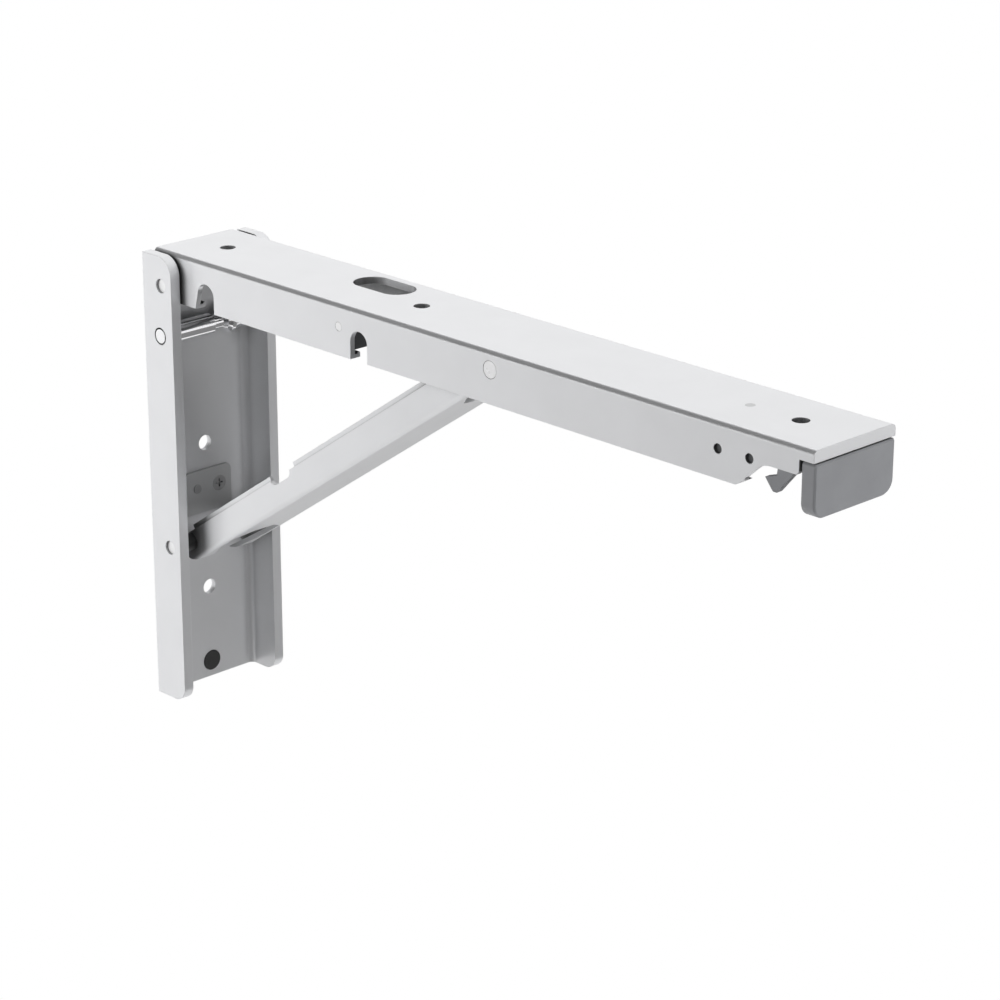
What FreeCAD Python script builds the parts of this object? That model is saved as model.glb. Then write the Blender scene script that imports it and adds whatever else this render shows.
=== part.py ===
"""Folding wall bracket for a shelf, shown open, in millimetres.

X points out from the wall, Y runs across the bracket and Z up. The heights below are measured from the
upper wall hole. The finished pieces are raised so that the origin lies midway between the two wall holes,
on the back of the wall channel. The arm folds down about the arm pivot, the strut turns about the strut
pivot, and the release cap pulls out along the arm.
"""
import FreeCAD
import Part
import math
import os
from FreeCAD import Vector

os.makedirs("parts", exist_ok=True)

# Wall channel
CHANNEL_WIDTH = 62.0
CHANNEL_DEPTH = 20.4
CHANNEL_TOP = 100.0
CHANNEL_BOTTOM = -121.0
CHANNEL_WEB = 3.0
CHANNEL_FLANGE = 5.2
CHANNEL_ROOT_RADIUS = 3.0
CHANNEL_TOP_NOSE = 9.2
CHANNEL_BOTTOM_NOSE = 7.4
WALL_HOLE_RADIUS = 3.75
WALL_HOLE_SPACING = 74.0

# Pivots and the cross shaft
PIVOT_X = 12.9
ARM_PIVOT_Z = 86.0
STRUT_PIVOT_DROP = 129.0
PIN_RADIUS = 3.4
PIN_RECESS = 1.3
RUNNING_CLEARANCE = 0.04
SHAFT_X = 11.3
SHAFT_DROP = 24.5
SHAFT_END_RADIUS = 3.4
SHAFT_END_HOLE_RADIUS = 4.1
SHAFT_SLEEVE_RADIUS = 5.0
SHAFT_NECK_RADIUS = 3.6
SHAFT_COLLAR_RADIUS = 6.4
SHAFT_SHOULDER_RADIUS = 5.4
SHAFT_NECK_START = -1.8
SHAFT_NECK_LENGTH = 5.8
SHAFT_COLLAR_Y = 7.7
SHAFT_COLLAR_WIDTH = 2.0
SHAFT_SHOULDER_Y = 10.8
SHAFT_TAPER_END = 15.0

# Stop plate on the web, and the buffer plug below
PLATE_WIDTH = 28.6
PLATE_HEIGHT = 21.2
PLATE_TOP = -13.0
PLATE_THICKNESS = 1.2
PLATE_CORNER = 3.0
PLATE_FIXING_DROP = 8.8
PLATE_SCREW_Y = 7.0
PLATE_RIVET_Y = -6.5
PLATE_SCREW_SHANK_RADIUS = 2.0
PLATE_SCREW_HEAD_RADIUS = 3.9
PLATE_SCREW_HEAD_DEPTH = 1.2
PLATE_SCREW_CROSS_LENGTH = 4.2
PLATE_SCREW_CROSS_WIDTH = 0.9
PLATE_SCREW_CROSS_DEPTH = 0.9
PLATE_RIVET_RADIUS = 1.5
PLATE_RIVET_HEAD_RADIUS = 2.2
PLATE_RIVET_HEAD_HEIGHT = 0.4
BUFFER_Z = -112.8
BUFFER_HEAD_RADIUS = 5.1
BUFFER_PROUD = 0.5

# Arm channel. A setback is measured from the arm's front end, a fall from its top face.
ARM_WIDTH = 48.4
ARM_HEIGHT = 23.5
ARM_TOP_RISE = 14.8
ARM_BACK = 0.5
ARM_END = 400.0
ARM_TOP_THICKNESS = 3.3
ARM_SIDE_THICKNESS = 2.5
ARM_EDGE_RADIUS = 2.3
ARM_LIP_REACH = 3.2
ARM_LIP_HEIGHT = 2.5
ARM_LIP_BULB = 1.5
ARM_LIP_FLOOR = 1.7
ARM_LIP_CHAMFER = 0.45
ARM_HEEL_RADIUS = 9.2
ARM_HEEL_CLEARANCE = 0.5
ARM_SIDE_SETBACK = 7.35
ARM_FRONT_LIP_HEIGHT = 5.2
ARM_FRONT_LIP_THICKNESS = 3.3
TOP_HOLE_RADIUS = 3.65
TOP_HOLE_REAR_X = 24.4
TOP_HOLE_MIDDLE_X = 156.3
TOP_HOLE_SETBACK = 27.5
SLOT_START_X = 113.6
SLOT_END_X = 129.9
SLOT_Y = 9.65
SLOT_RADIUS = 8.6

# Notches in the arm's sides
SHAFT_NOTCH_FOOT = 29.5
SHAFT_NOTCH_LEFT = 31.4
SHAFT_NOTCH_RIGHT = 42.9
SHAFT_NOTCH_FALL = 10.5
PIVOT_NOTCH_RADIUS = 5.45
PIVOT_NOTCH_RISE = 4.95
ARCH_START_SETBACK = 39.1
ARCH_CHAMFER_SETBACK = 34.3
ARCH_CHAMFER_RISE = 2.9
ARCH_STEP = 1.0
ARCH_CORNER_SETBACK = 25.6
ARCH_FALL = 11.6
ARCH_RADIUS = 11.0
ARCH_END_SETBACK = 8.4
ARCH_END_RISE = 1.4

# Pins, rivets and bushes of the arm
LOCK_PIN_LEAD = 17.2
LOCK_PIN_FALL = 8.3
LOCK_PIN_RADIUS = 4.0
LOCK_PIN_CHAMFER = 0.25
SPACER_RIVET_X = 128.8
SPACER_RIVET_FALL = 10.3
SPACER_RIVET_RADIUS = 2.1
SPACER_RIVET_CHAMFER = 0.15
GUIDE_PIN_SETBACKS = (48.8, 32.4)
GUIDE_PIN_FALL = 11.1
GUIDE_PIN_RADIUS = 2.1
GUIDE_PIN_RECESS = 1.2
BUSH_RADIUS = 4.5
BUSH_GAP = 0.3

# Cross block between the arm's sides, carried by the spacer rivet
BLOCK_HALF_LENGTH = 2.8
BLOCK_FALL = 6.3
BLOCK_HEIGHT = 15.4
BLOCK_LIP_CLEARANCE = 0.4

# Release cap, its guide arms and hooks
CAP_WIDTH = 47.5
CAP_BACK_SETBACK = 6.15
CAP_PROUD = 0.5
CAP_FALL = 5.8
CAP_HEIGHT = 22.65
CAP_CORNER = 6.2
CAP_TOP_CORNER = 1.2
CAP_EDGE = 0.7
CAP_TRAVEL = 8.0
GUIDE_ARM_THICKNESS = 2.9
GUIDE_ARM_CLEARANCE = 0.25
GUIDE_ARM_SETBACK = 63.5
GUIDE_ARM_HEIGHT = 9.8
GUIDE_ARM_FOOT_SETBACK = 32.5
GUIDE_ARM_RISE_LENGTH = 6.0
GUIDE_SLOT_CLEARANCE = 0.3
GUIDE_SLOT_END_CLEARANCE = 0.3
HOOK_SHANK_SETBACK = 20.0
HOOK_SHANK_FALL = 11.2
HOOK_OUTER_SETBACK = 11.2
HOOK_OUTER_FALL = 12.0
HOOK_OUTER_RADIUS = 3.0
HOOK_TIP_SETBACK = 26.5
HOOK_TIP_FALL = 17.6
HOOK_SEAT_SETBACK = 20.7
HOOK_SEAT_FALL = 15.7
HOOK_HEEL_SETBACK = 22.4
HOOK_HEEL_WIDTH = 2.15
HOOK_HEEL_FALL = 22.7
HOOK_HEEL_RADIUS = 1.2
LUG_LENGTH = 4.0
LUG_WIDTH = 3.0

# Return spring between its anchor in the arm and the lug of the cap
ANCHOR_SETBACK = 53.7
ANCHOR_RIVET_RADIUS = 2.1
ANCHOR_NECK_RADIUS = 1.8
ANCHOR_NECK_LENGTH = 6.0
ANCHOR_HEAD_RADIUS = 3.0
ANCHOR_HEAD_LENGTH = 2.0
SPRING_FALL = 7.8
SPRING_RADIUS = 1.9
SPRING_WIRE_RADIUS = 0.45
SPRING_PITCH = 2.8
SPRING_TURNS = 9
SPRING_SEGMENTS = 6
SPRING_WIRE_SIDES = 4
SPRING_HOOK_CLEARANCE = 0.15

# Strut, in its own frame: x from the pivot along the strut, z up from the pivot line
STRUT_WIDTH = 36.0
STRUT_SIDE_TOP = 4.2
STRUT_RIM_TOP = 6.5
STRUT_RIM_THICKNESS = 1.6
STRUT_FLANGE = 2.5
STRUT_WEB = 2.3
STRUT_EDGE_RADIUS = 2.2
STRUT_FOOT_RADIUS = 9.3
STRUT_SHOULDER_RADIUS = 4.0
STRUT_RIM_START = 5.0
STRUT_RIM_STEP = 2.0
STRUT_TIP_LEAD_TOP = 3.8
STRUT_TIP_LEAD_BOTTOM = 12.8
STRUT_TIP_RADIUS = 1.2
STRUT_NOTCH_BEHIND = 7.3
STRUT_NOTCH_AHEAD = 9.6
STRUT_NOTCH_FLOOR = 1.45
STRUT_NOTCH_RADIUS = 4.0
STRUT_RIM_AHEAD = 12.8
STRUT_PIN_SETBACK = 25.4
STRUT_PIN_Z = -2.0
STRUT_PIN_PROUD = 0.2
STRUT_BUSH_RADIUS = 4.3
STRUT_BUSH_GAP = 0.2
FOOT_OPENING = ((-12.0, 3.3, 0.0), (14.0, 14.2, 4.0), (26.0, 14.2, 4.0), (33.0, 6.0, 4.0))
TIP_OPENING_BEHIND = (26.7, 15.7)
TIP_OPENING_HALF_WIDTHS = (6.0, 12.5)
TIP_OPENING_RADII = (3.5, 4.0)

# Values that follow from the ones above
HALF_CHANNEL = CHANNEL_WIDTH / 2
CHANNEL_INNER = HALF_CHANNEL - CHANNEL_FLANGE
HALF_ARM = ARM_WIDTH / 2
ARM_TOP = ARM_PIVOT_Z + ARM_TOP_RISE
ARM_BOTTOM = ARM_TOP - ARM_HEIGHT
ARM_CEILING = ARM_TOP - ARM_TOP_THICKNESS
ARM_INNER = HALF_ARM - ARM_SIDE_THICKNESS
ARM_LIP_INNER = ARM_INNER - ARM_LIP_REACH
TOP_HOLE_X = (TOP_HOLE_REAR_X, TOP_HOLE_MIDDLE_X, ARM_END - TOP_HOLE_SETBACK)
GUIDE_PIN_X = tuple(ARM_END - setback for setback in GUIDE_PIN_SETBACKS)
GUIDE_PIN_Z = ARM_TOP - GUIDE_PIN_FALL
SPACER_RIVET_Z = ARM_TOP - SPACER_RIVET_FALL
LOCK_PIN_Z = ARM_TOP - LOCK_PIN_FALL
ANCHOR_X = ARM_END - ANCHOR_SETBACK
CAP_BACK = ARM_END - CAP_BACK_SETBACK
CAP_FRONT = ARM_END + CAP_PROUD
CAP_TOP = ARM_TOP - CAP_FALL
SPRING_Z = ARM_TOP - SPRING_FALL
HALF_STRUT = STRUT_WIDTH / 2
STRUT_BOTTOM = -STRUT_FOOT_RADIUS
STRUT_PIVOT_Z = ARM_PIVOT_Z - STRUT_PIVOT_DROP
PIVOT_NOTCH_X = PIVOT_X + STRUT_PIVOT_DROP
STRUT_PIN_X = ARM_END - STRUT_PIN_SETBACK - PIVOT_NOTCH_X
STRUT_LENGTH = math.hypot(STRUT_PIN_X, STRUT_PIN_Z)
STRUT_RISE = math.asin(STRUT_PIVOT_DROP / STRUT_LENGTH)
STRUT_ANGLE = math.degrees(STRUT_RISE + math.atan2(-STRUT_PIN_Z, STRUT_PIN_X))
LOCK_PIN_X = PIVOT_X + STRUT_LENGTH * math.cos(STRUT_RISE) + LOCK_PIN_LEAD
STRUT_LOCK_X = LOCK_PIN_X - PIVOT_NOTCH_X
REACH = 2 * CHANNEL_WIDTH
SKIN = 1.0


def rounded_wire(corners, place):
    """Close a polygon of (u, v, radius) corners, each rounded by its radius, in the plane that place maps to."""
    count = len(corners)
    spans = []
    for index, (u, v, radius) in enumerate(corners):
        corner = Vector(u, v, 0)
        before = Vector(*corners[index - 1][:2], 0) - corner
        after = Vector(*corners[(index + 1) % count][:2], 0) - corner
        before.normalize()
        after.normalize()
        if radius == 0:
            spans.append((corner, None, corner))
            continue
        half_turn = before.getAngle(after) / 2
        setback = radius / math.tan(half_turn)
        bisector = before + after
        bisector.normalize()
        middle = corner + bisector * (radius / math.sin(half_turn) - radius)
        spans.append((corner + before * setback, middle, corner + after * setback))
    edges = []
    for index, (start, middle, end) in enumerate(spans):
        if middle is not None:
            edges.append(Part.Arc(place(start), place(middle), place(end)).toShape())
        following = spans[(index + 1) % count][0]
        if (following - end).Length > 1e-6:
            edges.append(Part.makeLine(place(end), place(following)))
    return Part.Wire(edges)


def across(corners, low, high):
    """A prism of an outline in X and Z that runs across the bracket, from low to high in Y."""
    wire = rounded_wire(corners, lambda point: Vector(point.x, low, point.y))
    return Part.Face(wire).extrude(Vector(0, high - low, 0))


def upright(corners, low, high):
    """A prism of an outline in X and Y that stands from low to high in Z."""
    wire = rounded_wire(corners, lambda point: Vector(point.x, point.y, low))
    return Part.Face(wire).extrude(Vector(0, 0, high - low))


def lengthwise(corners, low, high):
    """A prism of an outline in Y and Z that runs from low to high in X."""
    wire = rounded_wire(corners, lambda point: Vector(low, point.x, point.y))
    return Part.Face(wire).extrude(Vector(high - low, 0, 0))


def mirrored(corners):
    """Complete the outline of a symmetric shape from its half at positive second coordinate."""
    return list(corners) + [(u, -v, radius) for u, v, radius in reversed(corners)]


def box(x_span, y_span, z_span):
    """A box from its low and high value along each axis."""
    size = [high - low for low, high in (x_span, y_span, z_span)]
    return Part.makeBox(*size, Vector(x_span[0], y_span[0], z_span[0]))


def cross_rod(radius, x, z, low, high):
    """A round rod across the bracket."""
    return Part.makeCylinder(radius, high - low, Vector(x, low, z), Vector(0, 1, 0))


def pin(radius, x, z, low, high, chamfer):
    """A cross rod with both ends chamfered."""
    rod = cross_rod(radius, x, z, low, high)
    ends = [edge for edge in rod.Edges if isinstance(edge.Curve, Part.Circle)]
    return rod.makeChamfer(chamfer, ends)


def post(radius, x, y, low, high):
    """A round post that stands up."""
    return Part.makeCylinder(radius, high - low, Vector(x, y, low))


def turned(profile, x, z):
    """A shape turned about an axis across the bracket, from (y, radius) points."""
    points = [Vector(x + radius, y, z) for y, radius in profile]
    points = [Vector(x, profile[0][0], z)] + points + [Vector(x, profile[-1][0], z)]
    face = Part.Face(Part.makePolygon(points + points[:1]))
    return face.revolve(Vector(x, 0, z), Vector(0, 1, 0), 360)


def wall_channel():
    section = mirrored([(CHANNEL_DEPTH, HALF_CHANNEL, 0), (0, HALF_CHANNEL, 0)])
    channel = upright(section, CHANNEL_BOTTOM, CHANNEL_TOP)
    pocket = mirrored([(CHANNEL_DEPTH + SKIN, CHANNEL_INNER, 0), (CHANNEL_WEB, CHANNEL_INNER, CHANNEL_ROOT_RADIUS)])
    channel = channel.cut(upright(pocket, CHANNEL_BOTTOM - SKIN, CHANNEL_TOP + SKIN))
    side = across([
        (-SKIN, CHANNEL_BOTTOM, 0),
        (CHANNEL_DEPTH, CHANNEL_BOTTOM, CHANNEL_BOTTOM_NOSE),
        (CHANNEL_DEPTH, CHANNEL_TOP, CHANNEL_TOP_NOSE),
        (-SKIN, CHANNEL_TOP, 0),
    ], -REACH, REACH)
    channel = channel.common(side)
    web_top = ARM_CEILING - ARM_HEEL_CLEARANCE
    channel = channel.cut(box((-SKIN, CHANNEL_DEPTH), (-CHANNEL_INNER, CHANNEL_INNER), (web_top, CHANNEL_TOP + SKIN)))
    for z in (0, -WALL_HOLE_SPACING):
        channel = channel.cut(along_x(WALL_HOLE_RADIUS, 0, z, -SKIN, CHANNEL_WEB + SKIN))
    channel = channel.cut(along_x(BUFFER_HEAD_RADIUS, 0, BUFFER_Z, -SKIN, CHANNEL_WEB + SKIN))
    screw_z = PLATE_TOP - PLATE_FIXING_DROP
    channel = channel.cut(along_x(PLATE_SCREW_SHANK_RADIUS, PLATE_SCREW_Y, screw_z, -SKIN, CHANNEL_WEB + SKIN))
    channel = channel.cut(along_x(PLATE_RIVET_RADIUS, PLATE_RIVET_Y, screw_z, -SKIN, CHANNEL_WEB + SKIN))
    for radius, x, z in (
        (PIN_RADIUS, PIVOT_X, ARM_PIVOT_Z),
        (PIN_RADIUS, PIVOT_X, STRUT_PIVOT_Z),
        (SHAFT_END_HOLE_RADIUS, SHAFT_X, ARM_PIVOT_Z - SHAFT_DROP),
    ):
        channel = channel.cut(cross_rod(radius, x, z, -REACH, REACH))
    return channel


def along_x(radius, y, z, low, high):
    """A round rod that points out from the wall."""
    return Part.makeCylinder(radius, high - low, Vector(low, y, z), Vector(1, 0, 0))


def pivot_pin(z):
    end = HALF_CHANNEL - PIN_RECESS
    return cross_rod(PIN_RADIUS, PIVOT_X, z, -end, end)


def cross_shaft():
    neck_end = SHAFT_NECK_START + SHAFT_NECK_LENGTH
    profile = [
        (-HALF_CHANNEL, SHAFT_END_RADIUS),
        (-CHANNEL_INNER, SHAFT_END_RADIUS),
        (-CHANNEL_INNER, SHAFT_SLEEVE_RADIUS),
        (SHAFT_NECK_START, SHAFT_SLEEVE_RADIUS),
        (SHAFT_NECK_START, SHAFT_NECK_RADIUS),
        (neck_end, SHAFT_NECK_RADIUS),
        ((neck_end + 2 * SHAFT_COLLAR_Y) / 3, (2 * SHAFT_NECK_RADIUS + SHAFT_COLLAR_RADIUS) / 3),
        (SHAFT_COLLAR_Y, SHAFT_COLLAR_RADIUS),
        (SHAFT_COLLAR_Y + SHAFT_COLLAR_WIDTH, SHAFT_COLLAR_RADIUS),
        (SHAFT_SHOULDER_Y, SHAFT_SHOULDER_RADIUS),
        (SHAFT_TAPER_END, SHAFT_SLEEVE_RADIUS),
        (CHANNEL_INNER, SHAFT_SLEEVE_RADIUS),
        (CHANNEL_INNER, SHAFT_END_RADIUS),
        (HALF_CHANNEL, SHAFT_END_RADIUS),
    ]
    return turned(profile, SHAFT_X, ARM_PIVOT_Z - SHAFT_DROP)


def plate_screw_head():
    """The countersunk cone of the plate's screw, its face flush with the plate."""
    face = CHANNEL_WEB + PLATE_THICKNESS
    depth = PLATE_SCREW_HEAD_DEPTH
    return Part.makeCone(PLATE_SCREW_SHANK_RADIUS, PLATE_SCREW_HEAD_RADIUS, depth,
                         Vector(face - depth, PLATE_SCREW_Y, PLATE_TOP - PLATE_FIXING_DROP), Vector(1, 0, 0))


def stop_plate():
    half = PLATE_WIDTH / 2
    outline = [(-half, PLATE_TOP - PLATE_HEIGHT, PLATE_CORNER), (half, PLATE_TOP - PLATE_HEIGHT, PLATE_CORNER),
               (half, PLATE_TOP, PLATE_CORNER), (-half, PLATE_TOP, PLATE_CORNER)]
    plate = lengthwise(outline, CHANNEL_WEB, CHANNEL_WEB + PLATE_THICKNESS)
    plate = plate.cut(plate_screw_head())
    return plate.cut(along_x(PLATE_RIVET_RADIUS, PLATE_RIVET_Y, PLATE_TOP - PLATE_FIXING_DROP, 0, PIVOT_X))


def plate_screw():
    z = PLATE_TOP - PLATE_FIXING_DROP
    face = CHANNEL_WEB + PLATE_THICKNESS
    screw = plate_screw_head()
    screw = screw.fuse(along_x(PLATE_SCREW_SHANK_RADIUS, PLATE_SCREW_Y, z, 0, face - PLATE_SCREW_HEAD_DEPTH))
    half_length = PLATE_SCREW_CROSS_LENGTH / 2
    half_width = PLATE_SCREW_CROSS_WIDTH / 2
    depth = (face - PLATE_SCREW_CROSS_DEPTH, face + SKIN)
    for across_half, up_half in ((half_length, half_width), (half_width, half_length)):
        screw = screw.cut(box(depth, (PLATE_SCREW_Y - across_half, PLATE_SCREW_Y + across_half),
                              (z - up_half, z + up_half)))
    return screw.removeSplitter()


def plate_rivet():
    z = PLATE_TOP - PLATE_FIXING_DROP
    face = CHANNEL_WEB + PLATE_THICKNESS
    rivet = along_x(PLATE_RIVET_RADIUS, PLATE_RIVET_Y, z, 0, face)
    return rivet.fuse(along_x(PLATE_RIVET_HEAD_RADIUS, PLATE_RIVET_Y, z, face, face + PLATE_RIVET_HEAD_HEIGHT))


def buffer_plug():
    face = CHANNEL_WEB + BUFFER_PROUD
    plug = along_x(BUFFER_HEAD_RADIUS, 0, BUFFER_Z, 0, face)
    rim = [edge for edge in plug.Edges if isinstance(edge.Curve, Part.Circle) and edge.CenterOfMass.x > CHANNEL_WEB]
    return plug.makeChamfer(BUFFER_PROUD * 0.6, rim)


def arm_section():
    bulb_top = ARM_BOTTOM + ARM_LIP_HEIGHT
    bulb_outer = ARM_LIP_INNER + ARM_LIP_BULB
    half = [
        (HALF_ARM, ARM_TOP, ARM_EDGE_RADIUS),
        (HALF_ARM, ARM_BOTTOM, 0),
        (ARM_LIP_INNER, ARM_BOTTOM, 0),
        (ARM_LIP_INNER, bulb_top - ARM_LIP_CHAMFER, 0),
        (ARM_LIP_INNER + ARM_LIP_CHAMFER, bulb_top, 0),
        (bulb_outer - ARM_LIP_CHAMFER, bulb_top, 0),
        (bulb_outer, bulb_top - ARM_LIP_CHAMFER, 0),
        (bulb_outer, ARM_BOTTOM + ARM_LIP_FLOOR, 0),
        (ARM_INNER, ARM_BOTTOM + ARM_LIP_FLOOR, 0),
        (ARM_INNER, ARM_CEILING, 0),
    ]
    return half + [(-y, z, radius) for y, z, radius in reversed(half)]


def arm_channel():
    arm = lengthwise(arm_section(), ARM_BACK, ARM_END)
    heel = box((ARM_BACK - SKIN, PIVOT_X), (-REACH, REACH), (ARM_BOTTOM - SKIN, ARM_CEILING - ARM_HEEL_CLEARANCE))
    arm = arm.cut(heel.cut(cross_rod(ARM_HEEL_RADIUS, PIVOT_X, ARM_PIVOT_Z, -REACH, REACH)))
    below = ARM_BOTTOM - SKIN
    shaft_notch_top = ARM_TOP - SHAFT_NOTCH_FALL
    shaft_notch_radius = (SHAFT_NOTCH_RIGHT - SHAFT_NOTCH_LEFT) / 2 - 0.1
    arm = arm.cut(across([
        (SHAFT_NOTCH_FOOT, below, 0),
        (SHAFT_NOTCH_RIGHT, below, 0),
        (SHAFT_NOTCH_RIGHT, shaft_notch_top, shaft_notch_radius),
        (SHAFT_NOTCH_LEFT, shaft_notch_top, shaft_notch_radius),
        (SHAFT_NOTCH_LEFT, ARM_PIVOT_Z - SKIN, 0),
        (SHAFT_NOTCH_FOOT, ARM_BOTTOM, 0),
    ], -REACH, REACH))
    notch_top = ARM_PIVOT_Z + PIVOT_NOTCH_RISE
    arm = arm.cut(across([
        (PIVOT_NOTCH_X - PIVOT_NOTCH_RADIUS, below, 0),
        (PIVOT_NOTCH_X + PIVOT_NOTCH_RADIUS, below, 0),
        (PIVOT_NOTCH_X + PIVOT_NOTCH_RADIUS, notch_top, PIVOT_NOTCH_RADIUS - 0.05),
        (PIVOT_NOTCH_X - PIVOT_NOTCH_RADIUS, notch_top, PIVOT_NOTCH_RADIUS - 0.05),
    ], -REACH, REACH))
    front_bottom = ARM_TOP - ARM_FRONT_LIP_HEIGHT
    arch_top = ARM_TOP - ARCH_FALL
    side_end = ARM_END - ARM_SIDE_SETBACK
    arm = arm.cut(across([
        (ARM_END - ARCH_START_SETBACK, below, 0),
        (ARM_END - ARCH_START_SETBACK, ARM_BOTTOM, 0),
        (ARM_END - ARCH_CHAMFER_SETBACK, ARM_BOTTOM + ARCH_CHAMFER_RISE, 0),
        (ARM_END - ARCH_CHAMFER_SETBACK, ARM_BOTTOM + ARCH_CHAMFER_RISE + ARCH_STEP, 0),
        (ARM_END - ARCH_CORNER_SETBACK, arch_top, ARCH_RADIUS),
        (ARM_END - ARCH_END_SETBACK, arch_top, 0),
        (side_end, arch_top + ARCH_END_RISE, 0),
        (side_end, front_bottom, 0),
        (ARM_END + SKIN, front_bottom, 0),
        (ARM_END + SKIN, below, 0),
    ], -REACH, REACH))
    lip_width = (-HALF_ARM + ARM_EDGE_RADIUS, HALF_ARM - ARM_EDGE_RADIUS)
    arm = arm.fuse(box((ARM_END - ARM_FRONT_LIP_THICKNESS, ARM_END), lip_width, (front_bottom, ARM_CEILING + SKIN)))
    for x in TOP_HOLE_X:
        arm = arm.cut(post(TOP_HOLE_RADIUS, x, 0, ARM_CEILING - SKIN, ARM_TOP + SKIN))
    slot = upright([
        (SLOT_START_X - SLOT_RADIUS, SLOT_Y - SLOT_RADIUS, SLOT_RADIUS - 0.05),
        (SLOT_END_X + SLOT_RADIUS, SLOT_Y - SLOT_RADIUS, SLOT_RADIUS - 0.05),
        (SLOT_END_X + SLOT_RADIUS, SLOT_Y + SLOT_RADIUS, SLOT_RADIUS - 0.05),
        (SLOT_START_X - SLOT_RADIUS, SLOT_Y + SLOT_RADIUS, SLOT_RADIUS - 0.05),
    ], ARM_CEILING - SKIN, ARM_TOP + SKIN)
    arm = arm.cut(slot)
    arm = arm.cut(post(ANCHOR_RIVET_RADIUS, ANCHOR_X, 0, ARM_CEILING - SKIN, ARM_TOP + SKIN))
    holes = [
        (BUSH_RADIUS, PIVOT_X, ARM_PIVOT_Z),
        (LOCK_PIN_RADIUS, LOCK_PIN_X, LOCK_PIN_Z),
        (SPACER_RIVET_RADIUS, SPACER_RIVET_X, SPACER_RIVET_Z),
    ] + [(GUIDE_PIN_RADIUS, x, GUIDE_PIN_Z) for x in GUIDE_PIN_X]
    for radius, x, z in holes:
        arm = arm.cut(cross_rod(radius, x, z, -REACH, REACH))
    return arm.removeSplitter()


def pivot_bush(side):
    """A plain bush in one side of the arm that also spaces it from the wall channel."""
    bush = cross_rod(BUSH_RADIUS, PIVOT_X, ARM_PIVOT_Z, ARM_INNER, CHANNEL_INNER - BUSH_GAP)
    bush = bush.cut(cross_rod(PIN_RADIUS + RUNNING_CLEARANCE, PIVOT_X, ARM_PIVOT_Z, 0, REACH))
    return bush if side > 0 else bush.mirror(Vector(), Vector(0, 1, 0))


def cross_block():
    """A block between the arm's sides that stands clear of the lips and rides on the spacer rivet."""
    top = ARM_TOP - BLOCK_FALL
    shoulder = ARM_BOTTOM + ARM_LIP_HEIGHT + BLOCK_LIP_CLEARANCE
    foot = ARM_LIP_INNER - BLOCK_LIP_CLEARANCE
    outline = [
        (ARM_INNER, top, 0),
        (ARM_INNER, shoulder, 0),
        (foot, shoulder, 0),
        (foot, top - BLOCK_HEIGHT, 0),
    ]
    block = lengthwise(outline + [(-y, z, 0) for y, z, _ in reversed(outline)],
                       SPACER_RIVET_X - BLOCK_HALF_LENGTH, SPACER_RIVET_X + BLOCK_HALF_LENGTH)
    return block.cut(cross_rod(SPACER_RIVET_RADIUS, SPACER_RIVET_X, SPACER_RIVET_Z, -REACH, REACH))


def guide_pin(x, side):
    """A short pin in one side of the arm that carries a guide arm of the cap."""
    inner = ARM_INNER - GUIDE_ARM_CLEARANCE - GUIDE_ARM_THICKNESS
    peg = cross_rod(GUIDE_PIN_RADIUS, x, GUIDE_PIN_Z, inner, HALF_ARM - GUIDE_PIN_RECESS)
    return peg if side > 0 else peg.mirror(Vector(), Vector(0, 1, 0))


def spring_anchor():
    """A stud riveted into the arm's top, with a neck that holds the spring's hook above its head."""
    neck_end = ARM_CEILING - ANCHOR_NECK_LENGTH
    stud = post(ANCHOR_RIVET_RADIUS, ANCHOR_X, 0, ARM_CEILING, ARM_TOP)
    stud = stud.fuse(post(ANCHOR_NECK_RADIUS, ANCHOR_X, 0, neck_end, ARM_CEILING))
    return stud.fuse(post(ANCHOR_HEAD_RADIUS, ANCHOR_X, 0, neck_end - ANCHOR_HEAD_LENGTH, neck_end))


def spring_path():
    """Points along the spring's wire: a ring round the anchor's groove, the coil, and a leg to the cap's lug."""
    coil_length = SPRING_PITCH * SPRING_TURNS
    ring_radius = ANCHOR_NECK_RADIUS + SPRING_HOOK_CLEARANCE + SPRING_WIRE_RADIUS
    leg_end = CAP_BACK - LUG_LENGTH - SPRING_HOOK_CLEARANCE - SPRING_WIRE_RADIUS
    start = (ANCHOR_X + ring_radius + leg_end - coil_length) / 2
    ring = [Vector(ANCHOR_X + ring_radius * math.cos(turn), ring_radius * math.sin(turn), SPRING_Z)
            for turn in (math.radians(angle) for angle in range(45, 361, 45))]
    count = SPRING_TURNS * SPRING_SEGMENTS
    turns = [2 * math.pi * step / SPRING_SEGMENTS for step in range(count + 1)]
    coil = [Vector(start + SPRING_PITCH * turn / (2 * math.pi), SPRING_RADIUS * math.sin(turn),
                   SPRING_Z - SPRING_RADIUS * math.cos(turn)) for turn in turns]
    return ring + coil + [Vector(leg_end - SPRING_RADIUS, 0, SPRING_Z), Vector(leg_end, 0, SPRING_Z)]


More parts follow.
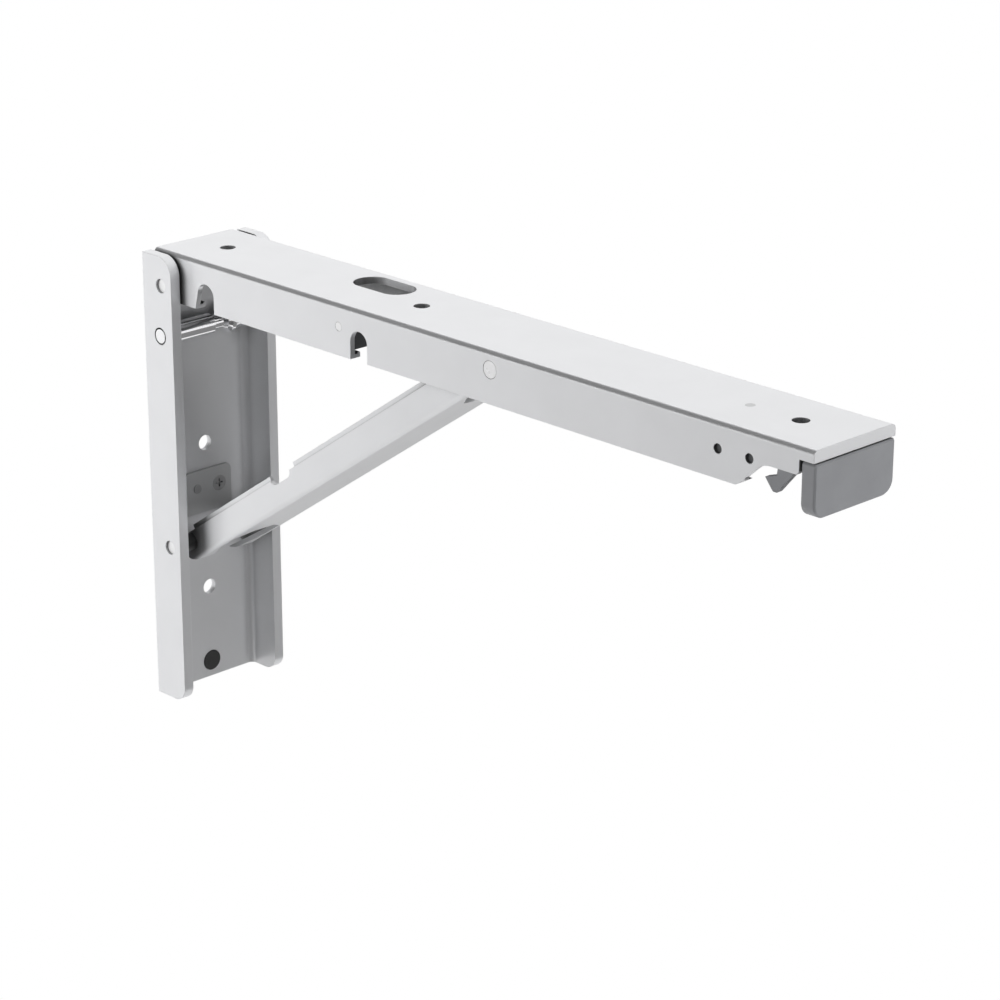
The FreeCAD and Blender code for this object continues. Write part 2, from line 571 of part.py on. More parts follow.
def wire_along(points, radius, sides):
    """A faceted wire that follows the points, its polygon section carried on without twisting."""
    rims = []
    aside = Vector(0, 0, 1)
    for index, point in enumerate(points):
        ahead = points[min(index + 1, len(points) - 1)] - points[max(index - 1, 0)]
        ahead.normalize()
        aside = aside - ahead * aside.dot(ahead)
        aside.normalize()
        other = ahead.cross(aside)
        rim = []
        for side in range(sides):
            angle = 2 * math.pi * side / sides
            rim.append(point + aside * (radius * math.cos(angle)) + other * (radius * math.sin(angle)))
        rims.append(rim)
    outlines = [rims[0], rims[-1]]
    for rim, following in zip(rims, rims[1:]):
        for side in range(sides):
            turned_on = (side + 1) % sides
            outlines.append([rim[side], rim[turned_on], following[turned_on]])
            outlines.append([rim[side], following[turned_on], following[side]])
    faces = [Part.Face(Part.makePolygon(outline + outline[:1])) for outline in outlines]
    wire = Part.Solid(Part.Shell(faces))
    if wire.Volume < 0:
        wire.reverse()
    return wire


def return_spring():
    return wire_along(spring_path(), SPRING_WIRE_RADIUS, SPRING_WIRE_SIDES)


def hook_outline():
    """The side view of a guide arm: a slotted bar that ends in a hook below the arm's edge."""
    start = ARM_END - GUIDE_ARM_SETBACK
    foot = CAP_TOP - GUIDE_ARM_HEIGHT
    shank = ARM_TOP - HOOK_SHANK_FALL
    seat = ARM_END - HOOK_SEAT_SETBACK
    seat_z = ARM_TOP - HOOK_SEAT_FALL
    heel = ARM_END - HOOK_HEEL_SETBACK
    heel_z = ARM_TOP - HOOK_HEEL_FALL
    rise = ARM_END - GUIDE_ARM_FOOT_SETBACK
    return [
        (start, foot, 0),
        (rise, foot, 0),
        (rise + GUIDE_ARM_RISE_LENGTH, shank, 0),
        (ARM_END - HOOK_SHANK_SETBACK, shank, 0),
        (seat, seat_z, 0),
        (ARM_END - HOOK_TIP_SETBACK, ARM_TOP - HOOK_TIP_FALL, 0),
        (heel, heel_z, HOOK_HEEL_RADIUS),
        (heel + HOOK_HEEL_WIDTH, heel_z, HOOK_HEEL_RADIUS / 2),
        (ARM_END - HOOK_OUTER_SETBACK, ARM_TOP - HOOK_OUTER_FALL, HOOK_OUTER_RADIUS),
        (CAP_BACK + SKIN, shank + 0.6, 0),
        (CAP_BACK + SKIN, CAP_TOP, 0),
        (start, CAP_TOP, 0),
    ]


def guide_slot():
    """The long hole of a guide arm, open for the cap's travel over both guide pins."""
    half = GUIDE_PIN_RADIUS + GUIDE_SLOT_CLEARANCE
    low = GUIDE_PIN_X[0] - CAP_TRAVEL - GUIDE_SLOT_END_CLEARANCE - GUIDE_PIN_RADIUS
    high = GUIDE_PIN_X[-1] + GUIDE_SLOT_END_CLEARANCE + GUIDE_PIN_RADIUS
    corner = half - 0.02
    return across([(low, GUIDE_PIN_Z - half, corner), (high, GUIDE_PIN_Z - half, corner),
                   (high, GUIDE_PIN_Z + half, corner), (low, GUIDE_PIN_Z + half, corner)], -REACH, REACH)


def release_cap():
    half = CAP_WIDTH / 2
    bottom = CAP_TOP - CAP_HEIGHT
    face = lengthwise([
        (-half, bottom, CAP_CORNER),
        (half, bottom, CAP_CORNER),
        (half, CAP_TOP, CAP_TOP_CORNER),
        (-half, CAP_TOP, CAP_TOP_CORNER),
    ], CAP_BACK, CAP_FRONT)
    front = [edge for edge in face.Edges if abs(edge.BoundBox.XMin - CAP_FRONT) < 1e-6]
    cap = face.makeChamfer(CAP_EDGE, front)
    outer = ARM_INNER - GUIDE_ARM_CLEARANCE
    bar = across(hook_outline(), outer - GUIDE_ARM_THICKNESS, outer).cut(guide_slot())
    cap = cap.fuse(bar).fuse(bar.mirror(Vector(), Vector(0, 1, 0)))
    lug = box((CAP_BACK - LUG_LENGTH, CAP_BACK + SKIN), (-LUG_WIDTH / 2, LUG_WIDTH / 2),
              (SPRING_Z - SPRING_RADIUS - SPRING_WIRE_RADIUS, CAP_TOP))
    return cap.fuse(lug).removeSplitter()


def strut_section():
    """The U section of the strut in Y and Z, without its raised rims."""
    inner = HALF_STRUT - STRUT_FLANGE
    outside = [(HALF_STRUT, STRUT_SIDE_TOP, 0), (HALF_STRUT, STRUT_BOTTOM, STRUT_EDGE_RADIUS)]
    inside = [(inner, STRUT_BOTTOM + STRUT_WEB, 0), (inner, STRUT_SIDE_TOP, 0)]
    outline = outside + [(-y, z, radius) for y, z, radius in reversed(outside)]
    return outline + [(-y, z, radius) for y, z, radius in reversed(inside)] + inside


def strut_channel():
    tail = -STRUT_FOOT_RADIUS
    tip = STRUT_PIN_X + STRUT_TIP_LEAD_BOTTOM
    notch_start = STRUT_LOCK_X - STRUT_NOTCH_BEHIND
    notch_end = STRUT_LOCK_X + STRUT_NOTCH_AHEAD
    body = lengthwise(strut_section(), tail, tip)
    inner = HALF_STRUT - STRUT_FLANGE
    for low in (inner, -inner - STRUT_RIM_THICKNESS):
        for start, end in ((STRUT_RIM_START, notch_start), (STRUT_LOCK_X + STRUT_RIM_AHEAD, tip)):
            rim = box((start, end), (low, low + STRUT_RIM_THICKNESS), (STRUT_SIDE_TOP - SKIN, STRUT_RIM_TOP))
            body = body.fuse(rim)
    side = across([
        (tail, STRUT_BOTTOM, STRUT_FOOT_RADIUS - 0.05),
        (tip, STRUT_BOTTOM, STRUT_TIP_RADIUS),
        (STRUT_PIN_X + STRUT_TIP_LEAD_TOP, STRUT_RIM_TOP, STRUT_TIP_RADIUS),
        (STRUT_RIM_START - STRUT_RIM_STEP, STRUT_RIM_TOP, 0),
        (STRUT_RIM_START - STRUT_RIM_STEP, STRUT_SIDE_TOP, 0),
        (tail, STRUT_SIDE_TOP, STRUT_SHOULDER_RADIUS),
    ], -REACH, REACH)
    body = body.common(side)
    body = body.cut(across([
        (notch_start, STRUT_NOTCH_FLOOR, STRUT_NOTCH_RADIUS),
        (notch_end, STRUT_NOTCH_FLOOR, STRUT_NOTCH_RADIUS),
        (notch_end, STRUT_RIM_TOP + SKIN, 0),
        (notch_start, STRUT_RIM_TOP + SKIN, 0),
    ], -REACH, REACH))
    web_zone = (STRUT_BOTTOM - SKIN, STRUT_BOTTOM + STRUT_WEB + SKIN)
    tip_opening = [(STRUT_PIN_X - behind, half_width, radius) for behind, half_width, radius in
                   zip(TIP_OPENING_BEHIND, TIP_OPENING_HALF_WIDTHS, TIP_OPENING_RADII)]
    tip_opening.append((tip + REACH, TIP_OPENING_HALF_WIDTHS[-1], 0))
    for opening in (FOOT_OPENING, tip_opening):
        body = body.cut(upright(mirrored(opening), *web_zone))
    body = body.cut(cross_rod(STRUT_BUSH_RADIUS, 0, 0, -REACH, REACH))
    body = body.cut(cross_rod(PIN_RADIUS, STRUT_PIN_X, STRUT_PIN_Z, -REACH, REACH))
    return on_strut(body.removeSplitter())


def strut_bush(side):
    """A plain black bush in one side of the strut that also spaces it from the wall channel."""
    bush = cross_rod(STRUT_BUSH_RADIUS, 0, 0, HALF_STRUT - STRUT_FLANGE, CHANNEL_INNER - STRUT_BUSH_GAP)
    bush = bush.cut(cross_rod(PIN_RADIUS + RUNNING_CLEARANCE, 0, 0, 0, REACH))
    return on_strut(bush if side > 0 else bush.mirror(Vector(), Vector(0, 1, 0)))


def strut_end_pin():
    end = HALF_STRUT + STRUT_PIN_PROUD
    return on_strut(cross_rod(PIN_RADIUS, STRUT_PIN_X, STRUT_PIN_Z, -end, end))


def on_strut(shape):
    """Take a shape from the strut's own frame to its open place on the bracket."""
    shape.rotate(Vector(), Vector(0, 1, 0), -STRUT_ANGLE)
    shape.translate(Vector(PIVOT_X, 0, STRUT_PIVOT_Z))
    return shape


def pieces():
    """Every piece of the bracket by name."""
    made = {
        "wall_channel": wall_channel(),
        "arm_pivot_pin": pivot_pin(ARM_PIVOT_Z),
        "strut_pivot_pin": pivot_pin(STRUT_PIVOT_Z),
        "cross_shaft": cross_shaft(),
        "stop_plate": stop_plate(),
        "stop_plate_screw": plate_screw(),
        "stop_plate_rivet": plate_rivet(),
        "buffer_plug": buffer_plug(),
        "arm_channel": arm_channel(),
        "lock_pin": pin(LOCK_PIN_RADIUS, LOCK_PIN_X, LOCK_PIN_Z, -HALF_ARM, HALF_ARM, LOCK_PIN_CHAMFER),
        "spacer_rivet": pin(SPACER_RIVET_RADIUS, SPACER_RIVET_X, SPACER_RIVET_Z, -HALF_ARM, HALF_ARM,
                            SPACER_RIVET_CHAMFER),
        "cross_block": cross_block(),
        "spring_anchor": spring_anchor(),
        "return_spring": return_spring(),
        "release_cap": release_cap(),
        "strut_channel": strut_channel(),
        "strut_end_pin": strut_end_pin(),
    }
    for side, word in ((-1, "near"), (1, "far")):
        made["pivot_bush_" + word] = pivot_bush(side)
        made["strut_bush_" + word] = strut_bush(side)
        for x, place in zip(GUIDE_PIN_X, ("rear", "front")):
            made["guide_pin_" + place + "_" + word] = guide_pin(x, side)
    return made


for name, shape in pieces().items():
    shape.translate(Vector(0, 0, WALL_HOLE_SPACING / 2))
    shape.exportStep("parts/" + name + ".step")
    print(name, len(shape.Solids), shape.isValid(), round(shape.Volume, 1))
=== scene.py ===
"""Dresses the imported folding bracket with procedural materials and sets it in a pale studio.

Lengths are in metres and angles in degrees, unless a comment says otherwise.
"""
import math

import bpy
from mathutils import Euler, Matrix, Vector


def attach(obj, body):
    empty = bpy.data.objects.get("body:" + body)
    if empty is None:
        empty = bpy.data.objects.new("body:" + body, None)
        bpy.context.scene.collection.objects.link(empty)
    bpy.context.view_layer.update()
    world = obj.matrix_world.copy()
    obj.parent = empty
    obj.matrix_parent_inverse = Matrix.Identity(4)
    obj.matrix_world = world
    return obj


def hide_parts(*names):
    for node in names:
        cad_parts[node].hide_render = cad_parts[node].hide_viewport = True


# Camera, at the place and angle of the photograph; its lens and sensor are in millimetres
CAMERA_PLACE = (1.1143, -0.8869, 0.5247)
CAMERA_AZIMUTH = 45.706
CAMERA_ELEVATION = 20.063
CAMERA_ROLL = 0.128
CAMERA_LENS = 112.52
CAMERA_SENSOR = 36
CAMERA_NEAREST = 0.05

# Studio
WHITE = (1, 1, 1, 1)
BLACK = (0, 0, 0, 1)
WORLD_LIGHT = 0.06
FLOOR_HEIGHT = -0.6
FLOOR_SIDE = 12.0
FLOOR_COLOUR = (0.86, 0.86, 0.86, 1)
FLOOR_ROUGHNESS = 0.9

# Colours
ALUMINIUM = (0.83, 0.835, 0.85, 1)
BRIGHT_STEEL = (0.96, 0.96, 0.97, 1)
SCREW_STEEL = (0.44, 0.44, 0.445, 1)
PLATE_STEEL = (0.60, 0.605, 0.61, 1)
CHROME = (0.88, 0.88, 0.89, 1)
CAP_GREY = (0.30, 0.305, 0.32, 1)
DARK_GREY = (0.075, 0.077, 0.08, 1)
BUSH_BLACK = (0.02, 0.02, 0.02, 1)
RUBBER = (0.035, 0.035, 0.035, 1)

# Satin aluminium, and how metallic the arm's rounded edges are: there they reflect the dark edge board as a
# painted dark line
SATIN_METALLIC = 0.35
SATIN_ROUGHNESS = 0.30
DARK_EDGE_METALLIC = 0.72

# How much longer noise is drawn along x, y and z, which makes it lines or rings
NO_STRETCH = (1, 1, 1)
LINES_ALONG_X = (50, 1, 1)
LINES_ALONG_Y = (1, 20, 1)
LINES_ALONG_Z = (1, 1, 50)
RINGS_ROUND_Y = (20, 1, 20)

# The strut's slope above the horizontal at rest
STRUT_SLOPE = 34.4

# Nearly all of a noise's values lie between these two
NOISE_LOW = 0.3
NOISE_HIGH = 0.7

# Painted shade in recesses: the openness below which metal is painted its darkest shade, the one above which
# it keeps its own colour where a piece doesn't say otherwise, and the samples that find it
DEEPEST_OPENNESS = 0.28
LEAST_OPEN = 0.7
OPENNESS_SAMPLES = 8

# Samples that round an edge in the shading
EDGE_SAMPLES = 4

# The largest part of the normal on a flat face, and on a fully rounded edge
FLAT_NORMAL = 0.998
ROUND_NORMAL = 0.95

# Sockets that share their names with others of the node, so they go by number
MIX_FACTOR = 0
MIX_LOW_COLOUR = 6
MIX_HIGH_COLOUR = 7
MIX_RESULT = 2
LOW_SHADER = 1
HIGH_SHADER = 2

# The return spring's smooth wire, with a ring round the anchor, a coil and a straight leg
SPRING_HEIGHT = 0.130
SPRING_WIRE_RADIUS = 0.00045
SPRING_RADIUS = 0.0019
SPRING_PITCH = 0.0028
SPRING_TURNS = 9
SPRING_START = 0.356375
SPRING_LEG_END = 0.38925
SPRING_STEP = 15
ANCHOR_PLACE = 0.3463
ANCHOR_RING_RADIUS = 0.0024
ANCHOR_RING_START = 45
FULL_TURN = 360
WIRE_RESOLUTION = 3


class Nodes:
    """A small helper that adds and joins a material's nodes."""

    def __init__(self, tree):
        self.tree = tree

    def add(self, kind, **inputs):
        node = self.tree.nodes.new(kind)
        for name, value in inputs.items():
            node.inputs[name.replace("_", " ")].default_value = value
        return node

    def join(self, source, target):
        self.tree.links.new(source, target)


def new_material(name):
    """A new material, the helper for its nodes, and its shader."""
    material = bpy.data.materials.new(name)
    material.use_nodes = True
    nodes = Nodes(material.node_tree)
    shader = material.node_tree.nodes["Principled BSDF"]
    return material, nodes, shader


def coordinates(nodes, stretch=NO_STRETCH, slope=0):
    """Object coordinates, turned to a slope about the cross axis and stretched."""
    place = nodes.add("ShaderNodeTexCoord")
    mapping = nodes.add("ShaderNodeMapping")
    mapping.vector_type = "TEXTURE"
    mapping.inputs["Rotation"].default_value = (0, -math.radians(slope), 0)
    mapping.inputs["Scale"].default_value = stretch
    nodes.join(place.outputs["Object"], mapping.inputs["Vector"])
    return mapping.outputs["Vector"]


def noise(nodes, vector, scale, detail):
    """Noise of a scale, in waves to the metre, and of a number of finer layers."""
    texture = nodes.add("ShaderNodeTexNoise", Scale=scale, Detail=detail)
    nodes.join(vector, texture.inputs["Vector"])
    return texture.outputs["Fac"]


def spread(nodes, factor, low, high):
    """Noise, spread over a range of values."""
    remap = nodes.add("ShaderNodeMapRange", From_Min=NOISE_LOW, From_Max=NOISE_HIGH, To_Min=low, To_Max=high)
    nodes.join(factor, remap.inputs["Value"])
    return remap.outputs["Result"]


def larger(nodes, first, second):
    """The larger of two values."""
    result = nodes.add("ShaderNodeMath")
    result.operation = "MAXIMUM"
    nodes.join(first, result.inputs[0])
    nodes.join(second, result.inputs[1])
    return result.outputs["Value"]


def mixed_colour(nodes, factor, low, high):
    """A colour between two others, each a plain colour or another node's output."""
    mix = nodes.add("ShaderNodeMix")
    mix.data_type = "RGBA"
    nodes.join(factor, mix.inputs[MIX_FACTOR])
    for colour, socket in ((low, MIX_LOW_COLOUR), (high, MIX_HIGH_COLOUR)):
        if isinstance(colour, tuple):
            mix.inputs[socket].default_value = colour
        else:
            nodes.join(colour, mix.inputs[socket])
    return mix.outputs[MIX_RESULT]


def shade(colour, amount):
    """The colour, darker or lighter by a factor."""
    return (*[min(1, channel * amount) for channel in colour[:3]], 1)


def tint(nodes, pattern, colour, amount):
    """A colour that a noise makes darker and lighter by an amount."""
    factor = spread(nodes, pattern, 0, 1)
    return mixed_colour(nodes, factor, shade(colour, 1 - amount), shade(colour, 1 + amount))


def vary_roughness(nodes, shader, pattern, roughness, below, above):
    """Let the roughness follow a noise, from so much below its value to so much above."""
    nodes.join(spread(nodes, pattern, roughness - below, roughness + above), shader.inputs["Roughness"])


def painted_recess_shade(nodes, colour, deep, distance, open_from=LEAST_OPEN):
    """Painted shade: metal's colour darkened in corners, gaps and holes, where shade falls, over its open
    colour.
    """
    openness = nodes.add("ShaderNodeAmbientOcclusion", Distance=distance)
    openness.samples = OPENNESS_SAMPLES
    remap = nodes.add("ShaderNodeMapRange", From_Min=DEEPEST_OPENNESS, From_Max=open_from)
    nodes.join(openness.outputs["AO"], remap.inputs["Value"])
    return mixed_colour(nodes, remap.outputs["Result"], deep, colour)


def rounded_bump(nodes, shader, height, strength, distance, edge):
    """Fine relief on top of softly rounded edges."""
    bevel = nodes.add("ShaderNodeBevel", Radius=edge)
    bevel.samples = EDGE_SAMPLES
    bump = nodes.add("ShaderNodeBump", Strength=strength, Distance=distance)
    nodes.join(height, bump.inputs["Height"])
    nodes.join(bevel.outputs["Normal"], bump.inputs["Normal"])
    nodes.join(bump.outputs["Normal"], shader.inputs["Normal"])


def by_roundness(nodes, flat, rounded):
    """One value on the flat faces of a squared-up piece, rising to another on its rounded edges."""
    place = nodes.add("ShaderNodeTexCoord")
    size = nodes.add("ShaderNodeVectorMath")
    size.operation = "ABSOLUTE"
    nodes.join(place.outputs["Normal"], size.inputs[0])
    parts = nodes.add("ShaderNodeSeparateXYZ")
    nodes.join(size.outputs["Vector"], parts.inputs["Vector"])
    largest = larger(nodes, parts.outputs["X"], parts.outputs["Y"])
    largest = larger(nodes, largest, parts.outputs["Z"])
    remap = nodes.add(
        "ShaderNodeMapRange", From_Min=FLAT_NORMAL, From_Max=ROUND_NORMAL, To_Min=flat, To_Max=rounded)
    nodes.join(largest, remap.inputs["Value"])
    return remap.outputs["Result"]


def drawn_metal(name, colour, metallic, roughness, stretch, slope=0,
                edge=0.0004, depth=0.014, open_from=LEAST_OPEN, dark_edge_metallic=None):
    """Satin metal with faint lines along its length, blotches, painted shade in recesses and soft edges.

    depth is how near other surfaces have to be for shade to be painted in a recess. Where the last argument
    is given, the rounded edges are that metallic, so that they reflect the dark edge board as a painted dark
    line.
    """
    material, nodes, shader = new_material(name)
    lines = noise(nodes, coordinates(nodes, stretch, slope), scale=900, detail=3)
    blotches = noise(nodes, coordinates(nodes), scale=45, detail=5)
    open_colour = tint(nodes, blotches, colour, amount=0.015)
    # Painted shade: the colour darkens in corners, gaps and holes, where shade falls
    shaded_colour = painted_recess_shade(nodes, open_colour, shade(colour, amount=0.2), depth, open_from)
    nodes.join(shaded_colour, shader.inputs["Base Color"])
    vary_roughness(nodes, shader, lines, roughness, below=0.02, above=0.02)
    shader.inputs["Metallic"].default_value = metallic
    # Painted dark line: the rounded edges grow more metallic and so reflect the dark edge board
    if dark_edge_metallic is not None:
        nodes.join(by_roundness(nodes, metallic, dark_edge_metallic), shader.inputs["Metallic"])
    rounded_bump(nodes, shader, lines, strength=0.02, distance=0.00002, edge=edge)
    return material


def turned_metal(name, colour, metallic, roughness):
    """Turned metal with fine rings round the bracket's cross axis."""
    material, nodes, shader = new_material(name)
    rings = noise(nodes, coordinates(nodes, RINGS_ROUND_Y), scale=3000, detail=2)
    open_colour = tint(nodes, rings, colour, amount=0.04)
    # Painted shade: the colour darkens in holes, gaps and corners, where shade falls
    shaded_colour = painted_recess_shade(nodes, open_colour, shade(colour, amount=0.12), distance=0.0009)
    nodes.join(shaded_colour, shader.inputs["Base Color"])
    vary_roughness(nodes, shader, rings, roughness, below=0.03, above=0.05)
    shader.inputs["Metallic"].default_value = metallic
    rounded_bump(nodes, shader, rings, strength=0.04, distance=0.00005, edge=0.0003)
    return material


def moulding(name, colour, roughness, grain, strength, edge):
    """Moulded plastic or rubber with a fine grain."""
    material, nodes, shader = new_material(name)
    fine = noise(nodes, coordinates(nodes), scale=grain, detail=2)
    broad = noise(nodes, coordinates(nodes), scale=60, detail=3)
    nodes.join(tint(nodes, broad, colour, amount=0.05), shader.inputs["Base Color"])
    vary_roughness(nodes, shader, fine, roughness, below=0.05, above=0.08)
    rounded_bump(nodes, shader, fine, strength, distance=0.0002, edge=edge)
    return material


def dress(material, *nodes):
    """Give each of these CAD nodes one material all over."""
    for node in nodes:
        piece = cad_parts[node]
        piece.data.materials.clear()
        piece.data.materials.append(material)


def steps(first, last):
    """The angles from one to another in the spring's steps, in radians."""
    return [math.radians(angle) for angle in range(first, last + 1, SPRING_STEP)]


def smooth_spring(material):
    """The return spring as a round wire along a true helix, in the place of its faceted node."""
    ring = [
        (ANCHOR_PLACE + ANCHOR_RING_RADIUS * math.cos(turn), ANCHOR_RING_RADIUS * math.sin(turn),
         SPRING_HEIGHT)
        for turn in steps(ANCHOR_RING_START, FULL_TURN)
    ]
    coil = [
        (SPRING_START + SPRING_PITCH * turn / math.tau, SPRING_RADIUS * math.sin(turn),
         SPRING_HEIGHT - SPRING_RADIUS * math.cos(turn))
        for turn in steps(0, FULL_TURN * SPRING_TURNS)
    ]
    leg = [(SPRING_LEG_END - SPRING_RADIUS, 0, SPRING_HEIGHT), (SPRING_LEG_END, 0, SPRING_HEIGHT)]
    points = ring + coil + leg
    curve = bpy.data.curves.new("smooth_spring", "CURVE")
    curve.dimensions = "3D"
    # A bevel of 1 makes each point's own radius the wire's
    curve.bevel_depth = 1
    curve.bevel_resolution = WIRE_RESOLUTION
    curve.use_fill_caps = True
    wire = curve.splines.new("POLY")
    wire.points.add(len(points) - 1)
    for point, place in zip(wire.points, points):
        point.co = (*place, 1)
        point.radius = SPRING_WIRE_RADIUS
    piece = bpy.data.objects.new("smooth_spring", curve)
    bpy.context.collection.objects.link(piece)
    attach(piece, "arm")
    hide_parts("return_spring")
    curve.materials.append(material)


def white_to_camera(nodes, light, white, output):
    """Show the white to camera, glossy and transmission rays, and the light to all others."""
    path = nodes.add("ShaderNodeLightPath")
    seen = path.outputs["Is Camera Ray"]
    for other in ("Is Glossy Ray", "Is Transmission Ray"):
        seen = larger(nodes, seen, path.outputs[other])
    mix = nodes.add("ShaderNodeMixShader")
    nodes.join(seen, mix.inputs["Fac"])
    nodes.join(light, mix.inputs[LOW_SHADER])
    nodes.join(white, mix.inputs[HIGH_SHADER])
    nodes.join(mix.outputs["Shader"], output)


def light_world():
    """Light the scene faintly from all round, in front of white."""
    world = bpy.data.worlds.new("studio")
    bpy.context.scene.world = world
    world.use_nodes = True
    world.node_tree.nodes.clear()
    nodes = Nodes(world.node_tree)
    output = nodes.add("ShaderNodeOutputWorld")
    dim = nodes.add("ShaderNodeBackground", Color=WHITE, Strength=WORLD_LIGHT)
    white = nodes.add("ShaderNodeBackground", Color=WHITE, Strength=1)
    white_to_camera(nodes, dim.outputs["Background"], white.outputs["Background"], output.inputs["Surface"])


def rectangle(name, width, height):
    """A flat rectangle round its own origin, facing up."""
    mesh = bpy.data.meshes.new(name)
    corners = [(x * width / 2, y * height / 2, 0) for x, y in ((-1, -1), (1, -1), (1, 1), (-1, 1))]
    mesh.from_pydata(corners, [], [(0, 1, 2, 3)])
    item = bpy.data.objects.new(name, mesh)
    bpy.context.collection.objects.link(item)
    return item


def lay_floor():
    """Lay a pale floor, which the camera sees as white."""
    floor = rectangle("studio_floor", FLOOR_SIDE, FLOOR_SIDE)
    floor.location = (0, 0, FLOOR_HEIGHT)
    material, nodes, shader = new_material("studio_floor")
    shader.inputs["Base Color"].default_value = FLOOR_COLOUR
    shader.inputs["Roughness"].default_value = FLOOR_ROUGHNESS
    output = material.node_tree.nodes["Material Output"]
    glow = nodes.add("ShaderNodeEmission", Color=WHITE, Strength=1)
    white_to_camera(nodes, shader.outputs["BSDF"], glow.outputs["Emission"], output.inputs["Surface"])
    floor.data.materials.append(material)


def aim(item, place, target, axis):
    """Put an item in its place and point one of its axes at a target."""
    item.location = place
    item.rotation_euler = (Vector(target) - Vector(place)).to_track_quat(axis, "Y").to_euler()


def softbox(name, place, target, size, power):
    """A square area lamp, which reflections don't see, aimed at a target."""
    lamp = bpy.data.lights.new(name, "AREA")
    lamp.shape = "SQUARE"
    lamp.size = size
    lamp.energy = power
    holder = bpy.data.objects.new(name, lamp)
    aim(holder, place, target, "-Z")
    holder.visible_glossy = False
    bpy.context.collection.objects.link(holder)


def board(name, place, target, width, height, tone):
    """A board of an even tone, which only reflections see, aimed at a target."""
    panel = rectangle(name, width, height)
    aim(panel, place, target, "Z")
    panel.visible_camera = False
    panel.visible_diffuse = False
    panel.visible_shadow = False
    material, _, shader = new_material(name)
    shader.inputs["Base Color"].default_value = BLACK
    shader.inputs["Specular IOR Level"].default_value = 0
    shader.inputs["Emission Color"].default_value = WHITE
    shader.inputs["Emission Strength"].default_value = tone
    panel.data.materials.append(material)


def set_camera():
    """Set the camera at the photograph's place and angle."""
    data = bpy.data.cameras.new("camera")
    data.sensor_width = CAMERA_SENSOR
    data.lens = CAMERA_LENS
    data.clip_start = CAMERA_NEAREST
    camera = bpy.data.objects.new("camera", data)
    level = Euler((math.radians(90 - CAMERA_ELEVATION), 0, math.radians(CAMERA_AZIMUTH))).to_matrix()
    camera.rotation_euler = (level @ Matrix.Rotation(math.radians(CAMERA_ROLL), 3, "Z")).to_euler()
    camera.location = CAMERA_PLACE
    bpy.context.collection.objects.link(camera)
    bpy.context.scene.camera = camera


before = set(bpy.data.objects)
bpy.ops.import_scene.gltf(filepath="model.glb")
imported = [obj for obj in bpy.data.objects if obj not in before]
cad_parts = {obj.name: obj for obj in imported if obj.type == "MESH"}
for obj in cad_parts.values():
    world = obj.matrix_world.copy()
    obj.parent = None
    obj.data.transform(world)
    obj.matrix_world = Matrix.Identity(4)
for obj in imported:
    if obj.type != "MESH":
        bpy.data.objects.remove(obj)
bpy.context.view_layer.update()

set_camera()
light_world()
lay_floor()
softbox("left_light", place=(-0.30, -0.85, 0.25), target=(0.1, 0, 0), size=0.4, power=6.2)
softbox("top_light", place=(0.1, 0.2, 1.6), target=(0.15, 0, 0), size=1.4, power=21.5)
softbox("end_light", place=(0.85, 0.12, 0.05), target=(0.4, 0, 0.12), size=0.25, power=1.6)

# Each board is what one part of the metal reflects, such as the dark along the arm's edge
board("edge_board", place=(-0.53, -0.42, 0.83), target=(0.2, 0, 0.13), width=1.6, height=1.6, tone=0)
board("front_board", place=(0.42, 0.34, -0.20), target=(0.02, 0, 0), width=0.42, height=0.50, tone=0.24)
board("side_board", place=(-0.35, -1.05, -0.42), target=(0.4, 0, 0.1), width=0.9, height=0.9, tone=0.7)
board("under_board", place=(-0.45, 0.60, -0.45), target=(0.15, 0, 0), width=0.8, height=0.5, tone=0.4)
board("corner_board", place=(0.66, -0.29, -0.26), target=(0.02, 0.01, 0), width=1.8, height=0.6, tone=0.1)
board("shaft_board", place=(0.43, 0.38, 0.32), target=(0.03, 0, 0.09), width=0.35, height=0.16, tone=0)

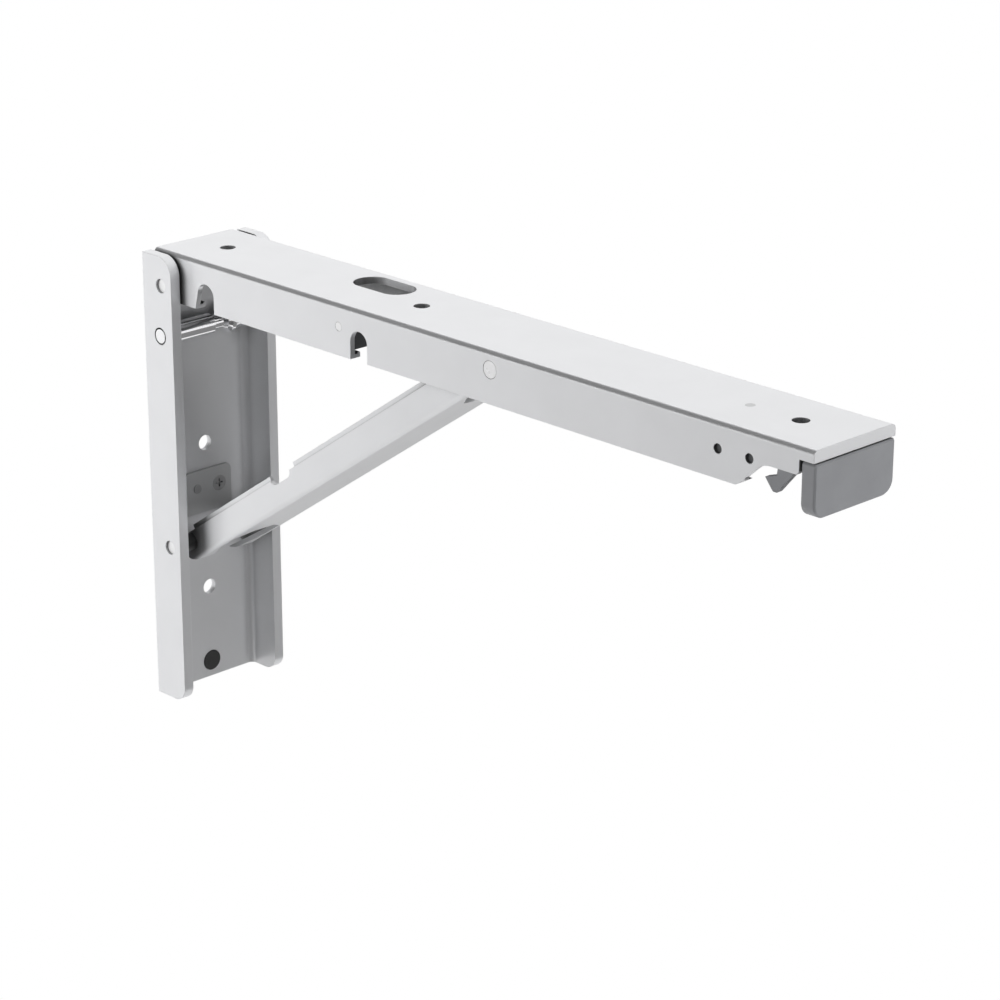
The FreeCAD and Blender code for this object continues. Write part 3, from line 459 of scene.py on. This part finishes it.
channel_metal = drawn_metal("satin_channel", ALUMINIUM, SATIN_METALLIC, SATIN_ROUGHNESS, LINES_ALONG_Z)
arm_metal = drawn_metal(
    "satin_arm", ALUMINIUM, SATIN_METALLIC, SATIN_ROUGHNESS, LINES_ALONG_X,
    depth=0.04, open_from=0.9, dark_edge_metallic=DARK_EDGE_METALLIC)
strut_metal = drawn_metal(
    "satin_strut", ALUMINIUM, SATIN_METALLIC, SATIN_ROUGHNESS, LINES_ALONG_X,
    slope=STRUT_SLOPE, depth=0.03, open_from=0.8)
steel = turned_metal("bright_steel", BRIGHT_STEEL, metallic=0.2, roughness=0.30)
dull_steel = turned_metal("dull_steel", SCREW_STEEL, metallic=0.6, roughness=0.36)
plate = drawn_metal(
    "plate_steel", PLATE_STEEL, metallic=0.5, roughness=0.36, stretch=LINES_ALONG_Y, edge=0.0002)
chrome = turned_metal("chromed", CHROME, metallic=1, roughness=0.07)
cap = moulding("cap_moulding", CAP_GREY, roughness=0.42, grain=2500, strength=0.12, edge=0.0005)
dark_moulding = moulding("dark_moulding", DARK_GREY, roughness=0.45, grain=2500, strength=0.12, edge=0.0002)
black = moulding("bush_plastic", BUSH_BLACK, roughness=0.4, grain=3000, strength=0.1, edge=0.0002)
rubber = moulding("buffer_rubber", RUBBER, roughness=0.7, grain=1800, strength=0.3, edge=0.0003)

dress(channel_metal, "wall_channel")
dress(arm_metal, "arm_channel")
dress(strut_metal, "strut_channel")
dress(plate, "stop_plate", "spring_anchor")
dress(chrome, "cross_shaft")
dress(cap, "release_cap")
dress(rubber, "buffer_plug")
dress(black, "strut_bush_near", "strut_bush_far", "pivot_bush_near", "pivot_bush_far")
dress(steel, "arm_pivot_pin", "strut_pivot_pin", "lock_pin", "spacer_rivet", "strut_end_pin")
dress(dull_steel, "stop_plate_screw", "stop_plate_rivet")
dress(dark_moulding, "cross_block", "guide_pin_rear_near", "guide_pin_rear_far")
dress(dark_moulding, "guide_pin_front_near", "guide_pin_front_far")
smooth_spring(steel)

bpy.context.scene.view_settings.view_transform = "Standard"
